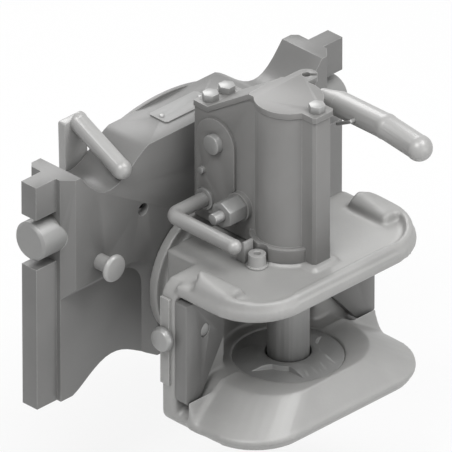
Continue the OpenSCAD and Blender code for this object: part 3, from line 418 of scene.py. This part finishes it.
def tube(name: str, points: Iterable[Point], radius: float, cyclic: bool = False) -> bpy.types.Object:
    """Sweeps a round section along a line.

    Args:
        name: The new object's name.
        points: The places the line goes through.
        radius: The section's radius.
        cyclic: Whether the line is a closed loop.

    Returns:
        The swept mesh, with closed ends.
    """
    curve = bpy.data.curves.new(name, "CURVE")
    curve.dimensions = "3D"
    curve.bevel_depth = radius
    curve.bevel_resolution = 4
    curve.use_fill_caps = True
    places = list(points)
    line = curve.splines.new("POLY")
    line.points.add(len(places) - 1)
    for spot, place in zip(line.points, places):
        spot.co = (*place, 1.0)
    line.use_cyclic_u = cyclic
    obj = bpy.data.objects.new(name, curve)
    bpy.context.scene.collection.objects.link(obj)
    activate(obj)
    bpy.ops.object.convert(target="MESH")
    return bpy.context.object


@dataclass
class Bench:
    """Makes dressed pieces from the frame's nodes and keeps count of them.

    Args:
        nodes: The CAD nodes by name.
        body_of: The CAD body of each node.
        slot_of: The material slot of each node; not used.
        made: The names of the pieces made so far.
    """

    nodes: dict[str, bpy.types.Object]
    body_of: dict[str, str]
    slot_of: dict[str, str]
    made: list[str] = field(default_factory=list)

    def copy(self, node: str, name: str) -> bpy.types.Object:
        """Copies a CAD node's mesh into a new object, with its doubles merged.

        Args:
            node: The CAD node's name.
            name: The new object's name.

        Returns:
            The copy, at the origin.
        """
        obj = bpy.data.objects.new(name, self.nodes[node].data.copy())
        bpy.context.scene.collection.objects.link(obj)
        obj.data.materials.clear()
        weld(obj)
        return obj

    def fit(self, obj: bpy.types.Object, finish: Finish, *stands_for: str) -> bpy.types.Object:
        """Gives a finished piece its material and puts it in the place of its CAD nodes.

        Args:
            obj: The finished piece.
            finish: Its finish.
            *stands_for: The CAD nodes that it replaces, the first of which carries it.

        Returns:
            The same piece.
        """
        obj.data.materials.clear()
        obj.data.materials.append(finish.material())
        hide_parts(*stands_for)
        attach(obj, self.body_of[stands_for[0]])
        self.made.append(obj.name)
        LOG.info("%s stands for %s", obj.name, ", ".join(stands_for))
        return obj

    def machined(self, node: str, name: str, finish: Finish, edge: float = 0.4 * MM) -> bpy.types.Object:
        """Dresses a machined node: its sharp edges are broken by a small bevel.

        Args:
            node: The CAD node's name.
            name: The piece's name.
            finish: Its finish.
            edge: The width of the edge break.

        Returns:
            The dressed piece.
        """
        obj = self.copy(node, name)
        self.finish_edges(obj, edge)
        return self.fit(obj, finish, node)

    @staticmethod
    def finish_edges(obj: bpy.types.Object, edge: float) -> None:
        """Breaks a piece's sharp edges by a small bevel and shades it smooth between them."""
        modifier(obj, "BEVEL", width=edge, segments=2, limit_method="ANGLE", angle_limit=math.radians(35),
                 use_clamp_overlap=True, harden_normals=False)
        smooth(obj)

    def fuse(self, obj: bpy.types.Object, grid: float, rounds: int) -> None:
        """Fuses a casting's overlapping forms into one skin with soft edges.

        Args:
            obj: The joined forms.
            grid: The size of the skin's faces.
            rounds: How often the skin is smoothed.
        """
        modifier(obj, "REMESH", mode="VOXEL", voxel_size=grid, use_smooth_shade=True)
        modifier(obj, "SMOOTH", factor=0.5, iterations=rounds)
        smooth(obj, 60.0)


# The coupling's sub-assemblies


@dataclass
class CarrierSet:
    """The height-adjustable carrier plate and what is fixed to it.

    Args:
        bench: Where the pieces are made.
        plate_edge: The bevel along the plate's edges.
    """

    bench: Bench
    plate_edge: float = 2.2 * MM

    def build(self) -> None:
        """Builds and dresses every piece of the carrier."""
        self.plate()
        self.knob()
        self.bench.machined("type_plate", "blank_type_plate", LABEL_METAL, 0.2 * MM)
        self.bench.machined("type_plate_rivets", "type_plate_rivets_dressed", TURNED_STEEL_LIT, 0.3 * MM)
        self.bench.machined("rear_cover", "arched_rear_cover", PLATE_SHADE_GREY, 0.6 * MM)
        self.bench.machined("rear_cover_screws", "rear_cover_screws_dressed", TURNED_STEEL_LIT, 0.6 * MM)

    def plate(self) -> None:
        """Dresses the plate with softly broken edges."""
        self.bench.machined("carrier_plate", "carrier_plate_dressed", PLATE_SHADE_GREY, self.plate_edge)

    def knob(self) -> None:
        """Dresses the mushroom-shaped stop knob."""
        self.bench.machined("stop_knob", "mushroom_stop_knob", LEVER_LIT_GREY, 0.8 * MM)


@dataclass
class JawSet:
    """The jaw casting with its bushes, seat ring, cheeks and strips.

    Args:
        bench: Where the pieces are made.
        bead: The radius of the rolled bead along the jaws' edges.
        grid: The size of the casting's skin faces.
        fillet_in: Where the fillets under the cheeks begin, from the middle.
        fillet_low: The height of the fillets' feet on the lower jaw.
        fillet_high: The height at which the fillets leave the wall.
        fillet_back: Where the fillets leave the wall.
        fillet_depth: How far the fillets reach to the front.
    """

    bench: Bench
    bead: float = 2.6 * MM
    grid: float = 1.45 * MM
    fillet_in: float = 43.5 * MM
    fillet_low: float = -64 * MM
    fillet_high: float = -31 * MM
    fillet_back: float = 7 * MM
    fillet_depth: float = 22 * MM

    def build(self) -> None:
        """Builds and dresses every piece of the jaw."""
        self.casting()
        self.bench.machined("seat_ring", "three_lobed_seat_ring", TURNED_STEEL_LIT, 0.5 * MM)
        self.bench.machined("lower_bush", "lower_bush_dressed", TURNED_STEEL_LIT, 0.3 * MM)
        self.bench.machined("upper_bush", "upper_bush_dressed", TURNED_STEEL_LIT, 0.3 * MM)
        self.bench.machined("left_cheek", "left_cheek_plate", PLATE_SHADE_GREY, 0.9 * MM)
        self.bench.machined("right_cheek", "right_cheek_plate", PLATE_SHADE_GREY, 0.9 * MM)
        self.bench.machined("cheek_rivets", "cheek_rivets_dressed", TURNED_STEEL_LIT, 0.5 * MM)
        self.bench.machined("side_strips", "side_strips_dressed", JAW_LIT_GREY, 0.5 * MM)
        self.bench.machined("side_buttons", "button_heads", TURNED_STEEL_LIT, 0.8 * MM)
        self.bench.machined("retainer_ring", "rear_retainer_ring", JAW_LIT_GREY, 0.8 * MM)
        self.bench.machined("retainer_screws", "retainer_screws_dressed", TURNED_STEEL_LIT, 0.6 * MM)
        self.bench.machined("trip_flap", "trip_flap_dressed", PLATE_SHADE_GREY, 0.6 * MM)
        self.bench.machined("trip_flap_pin", "trip_flap_pin_dressed", TURNED_STEEL_LIT, 0.4 * MM)

    def edge_line(self, low: Vector, high: Vector, height: float, inset: float) -> list[Point]:
        """Works out the line along a jaw's open edge, from one wall round the front to the other.

        Args:
            low: The jaw's lowest corner.
            high: The jaw's highest corner.
            height: The line's height.
            inset: How far inside the edge the line runs.

        Returns:
            The line's points.
        """
        half = high.x - 2 * MM - inset
        front = low.y + inset
        corner = 44 * MM - inset
        wall = 19 * MM
        points = [(-half, wall, height)]
        steps = 14
        for side in (-1, 1):
            centre = Vector((side * (half - corner), front + corner))
            for i in range(steps + 1):
                turn = math.radians(90 * i / steps)
                if side < 0:
                    spot = centre + corner * Vector((-math.cos(turn), -math.sin(turn)))
                else:
                    spot = centre + corner * Vector((math.sin(turn), -math.cos(turn)))
                points.append((spot.x, spot.y, height))
        points.append((half, wall, height))
        return points

    def fillet(self, side: int, outside: float) -> bpy.types.Object:
        """Models the hollow fillet between the wall and one side of the lower jaw.

        Args:
            side: 1 on the right and -1 on the left.
            outside: How far from the middle the fillet ends.

        Returns:
            The fillet, as its own form.
        """
        height = self.fillet_high - self.fillet_low
        width = outside - self.fillet_in
        middle = side * (outside + self.fillet_in) / 2
        front = self.fillet_back - self.fillet_depth
        wedge = primitive(
            "fillet_wedge", bpy.ops.mesh.primitive_cube_add, size=1.0,
            location=(middle, self.fillet_back - self.fillet_depth / 2, self.fillet_low + height / 2),
            scale=(width, self.fillet_depth, height),
        )
        hollow = primitive(
            "fillet_hollow", bpy.ops.mesh.primitive_cylinder_add, vertices=96, radius=1.0, depth=2 * width,
            location=(middle, front, self.fillet_high), rotation=(0, math.radians(90), 0),
            scale=(height + 3 * MM, self.fillet_depth - 0.3 * MM, 1.0),
        )
        carve(wedge, hollow)
        return wedge

    def casting(self) -> None:
        """Fuses the jaw with its rolled beads and fillets into one casting."""
        obj = self.bench.copy("jaw", "jaw_casting")
        low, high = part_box("jaw")
        lip = low.z + 6 * MM
        jaw_bead = 45.5 * MM
        extra = [
            tube("lower_bead", self.edge_line(low, high, lip, self.bead * 0.8), self.bead),
            tube("upper_bead", self.edge_line(low, high, jaw_bead, self.bead * 0.8), self.bead),
            self.fillet(-1, high.x),
            self.fillet(1, high.x),
        ]
        join(obj, extra)
        self.bench.fuse(obj, self.grid, 2)
        soften(obj, lambda spot, _: spot.z > jaw_bead + 4 * MM and abs(spot.x) > 50 * MM, 14)
        soften(obj, lambda spot, _: spot.z < -28 * MM and spot.y > -22 * MM and abs(spot.x) > 42 * MM, 8)
        self.bench.fit(obj, JAW_LIT_GREY, "jaw")


@dataclass
class TowerSet:
    """The tower over the pin, its covers, fasteners and side fittings.

    Args:
        bench: Where the pieces are made.
        collar_r: The outer radius of the collar around the tower's foot.
        collar_h: The collar's height.
        collar_roll: The radius of the collar's rolled top.
        screw_room: The middle of the foot screw's recess, seen from above.
        screw_room_r: The recess's radius.
        ear: The middle of the cover's ear.
        ear_slot: The width of the slot that opens the ear's hole.
    """

    bench: Bench
    collar_r: float = 28 * MM
    collar_h: float = 10.5 * MM
    collar_roll: float = 2.8 * MM
    screw_room: tuple[float, float] = (-34 * MM, -2 * MM)
    screw_room_r: float = 8.2 * MM
    ear: tuple[float, float] = (32 * MM, 14 * MM)
    ear_slot: float = 3.6 * MM

    def build(self) -> None:
        """Builds and dresses every piece of the tower."""
        self.casting()
        self.cover()
        self.bench.machined("cover_bolts", "cover_hex_bolts", TURNED_STEEL_LIT, 0.5 * MM)
        self.bench.machined("shaft_bushes", "shaft_bushes_dressed", BRONZE, 0.2 * MM)
        self.bench.machined("side_cover", "arched_side_cover", TOWER_SHADE_GREY, 0.7 * MM)
        self.bench.machined("spring_peg", "small_spring_peg", TURNED_STEEL_LIT, 0.4 * MM)
        self.bench.machined("stud", "side_stud", TURNED_STEEL_LIT, 0.6 * MM)
        self.bench.machined("stud_nut", "long_hex_nut", TURNED_STEEL_LIT, 0.6 * MM)
        self.bench.machined("foot_screw", "socket_foot_screw", LEVER_LIT_GREY, 0.5 * MM)
        self.bench.machined("sensor_clip", "folded_clip", LEVER_LIT_GREY, 0.5 * MM)

    def casting(self) -> None:
        """Dresses the tower and rolls the top of the collar around its foot."""
        obj = self.bench.copy("tower", "tower_casting")
        low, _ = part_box("tower")
        roll = primitive(
            "collar_roll", bpy.ops.mesh.primitive_torus_add, major_segments=96, minor_segments=20,
            major_radius=self.collar_r - self.collar_roll, minor_radius=self.collar_roll,
            location=(0, 0, low.z + self.collar_h - self.collar_roll * 0.75),
        )
        room = primitive(
            "screw_room", bpy.ops.mesh.primitive_cylinder_add, vertices=64, radius=self.screw_room_r,
            depth=4 * self.collar_h, location=(*self.screw_room, low.z),
        )
        core = primitive(
            "collar_core", bpy.ops.mesh.primitive_cylinder_add, vertices=64,
            radius=self.collar_r - 2 * self.collar_roll, depth=4 * self.collar_h, location=(0, 0, low.z),
        )
        carve(roll, room)
        carve(roll, core)
        carve(obj, roll, "UNION")
        self.bench.finish_edges(obj, 0.9 * MM)
        self.bench.fit(obj, TOWER_SHADE_GREY, "tower")

    def cover(self) -> None:
        """Dresses the sloped cover and opens its ear's hole to the outside."""
        obj = self.bench.copy("tower_cover", "tower_cover_dressed")
        _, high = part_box("tower_cover")
        reach = 6 * MM
        slot = primitive(
            "ear_slot", bpy.ops.mesh.primitive_cube_add, size=1.0, rotation=(0, 0, math.radians(-45)),
            location=(self.ear[0] + reach * 0.7, self.ear[1] - reach * 0.7, high.z),
            scale=(2 * reach, self.ear_slot, 40 * MM),
        )
        carve(obj, slot)
        self.bench.finish_edges(obj, 0.9 * MM)
        self.bench.fit(obj, TOWER_SHADE_GREY, "tower_cover")


@dataclass
class LeverSet:
    """The coupling pin and the levers that work it.

    Args:
        bench: Where the pieces are made.
    """

    bench: Bench

    def build(self) -> None:
        """Builds and dresses the pin, its crank and the levers."""
        self.bench.machined("coupling_pin", "round_coupling_pin", PIN_STEEL, 0.5 * MM)
        self.bench.machined("lever_shaft", "lever_shaft_dressed", TURNED_STEEL_LIT, 0.8 * MM)
        self.bench.machined("crank", "forked_crank", PLATE_SHADE_GREY, 0.4 * MM)
        self.bench.machined("crank_roller", "crank_roller_dressed", TURNED_STEEL_LIT, 0.4 * MM)
        self.bench.machined("hand_lever", "hand_lever_arm", LEVER_LIT_GREY, 0.6 * MM)
        self.bench.machined("hand_grip", "hand_lever_grip", LEVER_LIT_GREY, 0.6 * MM)
        self.bench.machined("pull_wire", "bent_pull_wire", TURNED_STEEL_LIT, 0.2 * MM)
        self.bench.machined("side_lever", "bent_side_lever", LEVER_LIT_GREY, 0.4 * MM)
        self.bench.machined("side_lever_collar", "side_lever_collar_dressed", TURNED_STEEL_LIT, 0.5 * MM)
        self.bench.machined("torsion_spring", "coiled_torsion_spring", TURNED_STEEL_LIT, 0.05 * MM)


@dataclass
class LockSet:
    """The two locking pins and the lever that draws them in.

    Args:
        bench: Where the pieces are made.
    """

    bench: Bench

    def build(self) -> None:
        """Builds and dresses the locking gear."""
        self.bench.machined("left_lock_pin", "left_locking_pin", PIN_STEEL, 0.6 * MM)
        self.bench.machined("right_lock_pin", "right_locking_pin", PIN_STEEL, 0.6 * MM)
        self.bench.machined("lock_cam", "locking_cam", PLATE_SHADE_GREY, 0.5 * MM)
        self.bench.machined("lock_lever", "locking_lever_arm", LEVER_LIT_GREY, 0.9 * MM)
        self.bench.machined("lock_grip", "locking_lever_grip", LEVER_LIT_GREY, 0.5 * MM)


@dataclass
class Studio:
    """The pale floor, the soft lights and the camera at the photograph's angle.

    Args:
        floor_height: The floor's height.
        azimuth: The camera's turn from the front, in degrees; negative is to the left.
        elevation: The camera's angle above the horizon, in degrees.
        target: The point at the middle of the picture.
        frame_width: The width that the picture shows at the target.
        lens: The camera's focal length in millimetres.
    """

    floor_height: float = -0.17
    azimuth: float = -45.0
    elevation: float = 30.0
    target: Point = (-10.8 * MM, 52.8 * MM, 51.5 * MM)
    frame_width: float = 325.8 * MM
    lens: float = 1500.0

    def build(self) -> None:
        """Builds the floor, the world, the lamps and the camera."""
        self.floor()
        self.world()
        self.lamp("key_lamp", (0.35, -0.75, 1.50), 0.9, 17.0)
        self.lamp("side_lamp", (-0.95, -0.35, 1.40), 0.7, 15.0)
        self.lamp("fill_lamp", (0.10, -1.50, 0.35), 0.9, 4.5)
        self.lamp("back_lamp", (0.6, 1.1, 1.0), 0.8, 9.0)
        self.camera()
        bpy.context.scene.view_settings.view_transform = "Standard"

    def floor(self) -> None:
        """Adds the pale floor, which shows white to the camera and keeps a soft shadow."""
        floor = primitive(
            "studio_floor", bpy.ops.mesh.primitive_plane_add, size=14.0, location=(0, 0, self.floor_height)
        )
        paint = bpy.data.materials.new("studio_floor_paint")
        paint.use_nodes = True
        tree = paint.node_tree
        shader = tree.nodes["Principled BSDF"]
        shader.inputs["Base Color"].default_value = (0.8, 0.8, 0.8, 1.0)
        shader.inputs["Roughness"].default_value = 0.9
        white = tree.nodes.new("ShaderNodeEmission")
        seen = self.seen_directly(tree)
        blend = tree.nodes.new("ShaderNodeMixShader")
        part = math_node(tree, "MULTIPLY", 0.82)
        tree.links.new(seen, part.inputs[0])
        tree.links.new(part.outputs[0], blend.inputs["Fac"])
        tree.links.new(shader.outputs["BSDF"], blend.inputs[1])
        tree.links.new(white.outputs["Emission"], blend.inputs[2])
        tree.links.new(blend.outputs["Shader"], tree.nodes["Material Output"].inputs["Surface"])
        floor.data.materials.append(paint)

    @staticmethod
    def seen_directly(tree: bpy.types.NodeTree) -> bpy.types.NodeSocket:
        """Adds a mask of the rays that come from the camera or from a reflection."""
        path = tree.nodes.new("ShaderNodeLightPath")
        either = math_node(tree, "MAXIMUM")
        any_ray = math_node(tree, "MAXIMUM")
        tree.links.new(path.outputs["Is Camera Ray"], either.inputs[0])
        tree.links.new(path.outputs["Is Glossy Ray"], either.inputs[1])
        tree.links.new(either.outputs[0], any_ray.inputs[0])
        tree.links.new(path.outputs["Is Transmission Ray"], any_ray.inputs[1])
        return any_ray.outputs[0]

    def world(self) -> None:
        """Makes the world white to the camera and a soft grey light to the object."""
        world = bpy.data.worlds.new("studio_world")
        bpy.context.scene.world = world
        world.use_nodes = True
        tree = world.node_tree
        background = tree.nodes["Background"]
        background.inputs["Color"].default_value = (1.0, 1.0, 1.0, 1.0)
        level = tree.nodes.new("ShaderNodeMapRange")
        level.inputs["To Min"].default_value = 0.33
        level.inputs["To Max"].default_value = 1.0
        tree.links.new(self.seen_directly(tree), level.inputs["Value"])
        tree.links.new(level.outputs["Result"], background.inputs["Strength"])

    @staticmethod
    def lamp(name: str, place: Point, size: float, power: float) -> None:
        """Adds a soft square lamp that points at the coupling.

        Args:
            name: The lamp's name.
            place: Where it hangs.
            size: The length of its side.
            power: Its power in watts.
        """
        clear_selection()
        bpy.ops.object.light_add(type="AREA", location=place)
        lamp = bpy.context.object
        lamp.name = name
        lamp.data.size = size
        lamp.data.energy = power
        lamp.rotation_euler = (Vector((0, 0.05, 0.05)) - Vector(place)).to_track_quat("-Z", "Y").to_euler()

    def camera(self) -> None:
        """Adds the camera, far away behind a long lens."""
        turn, rise = math.radians(self.azimuth), math.radians(self.elevation)
        back = Vector((math.sin(turn) * math.cos(rise), -math.cos(turn) * math.cos(rise), math.sin(rise)))
        clear_selection()
        bpy.ops.object.camera_add()
        camera = bpy.context.object
        camera.data.lens = self.lens
        half_angle = math.atan(camera.data.sensor_width / 2 / self.lens)
        distance = self.frame_width / 2 / math.tan(half_angle)
        camera.location = Vector(self.target) + back * distance
        camera.rotation_euler = (-back).to_track_quat("-Z", "Y").to_euler()
        camera.data.clip_end = 2.0 * distance
        bpy.context.scene.camera = camera


def main() -> None:
    logging.basicConfig(level=logging.INFO, format="%(name)s: %(message)s")
    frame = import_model()
    record = frame["record"]
    body_of = {n: body for body, names in record["behaviour"]["bodies"].items() for n in names}
    slot_of = {row["node"]: row["material_slot"] for row in record["subparts"]}
    bench = Bench(frame["nodes"], body_of, slot_of)
    for part in (CarrierSet(bench), JawSet(bench), TowerSet(bench), LeverSet(bench), LockSet(bench)):
        part.build()
    Studio().build()
    LOG.info("%d dressed pieces", len(bench.made))


if __name__ == "__main__":
    main()
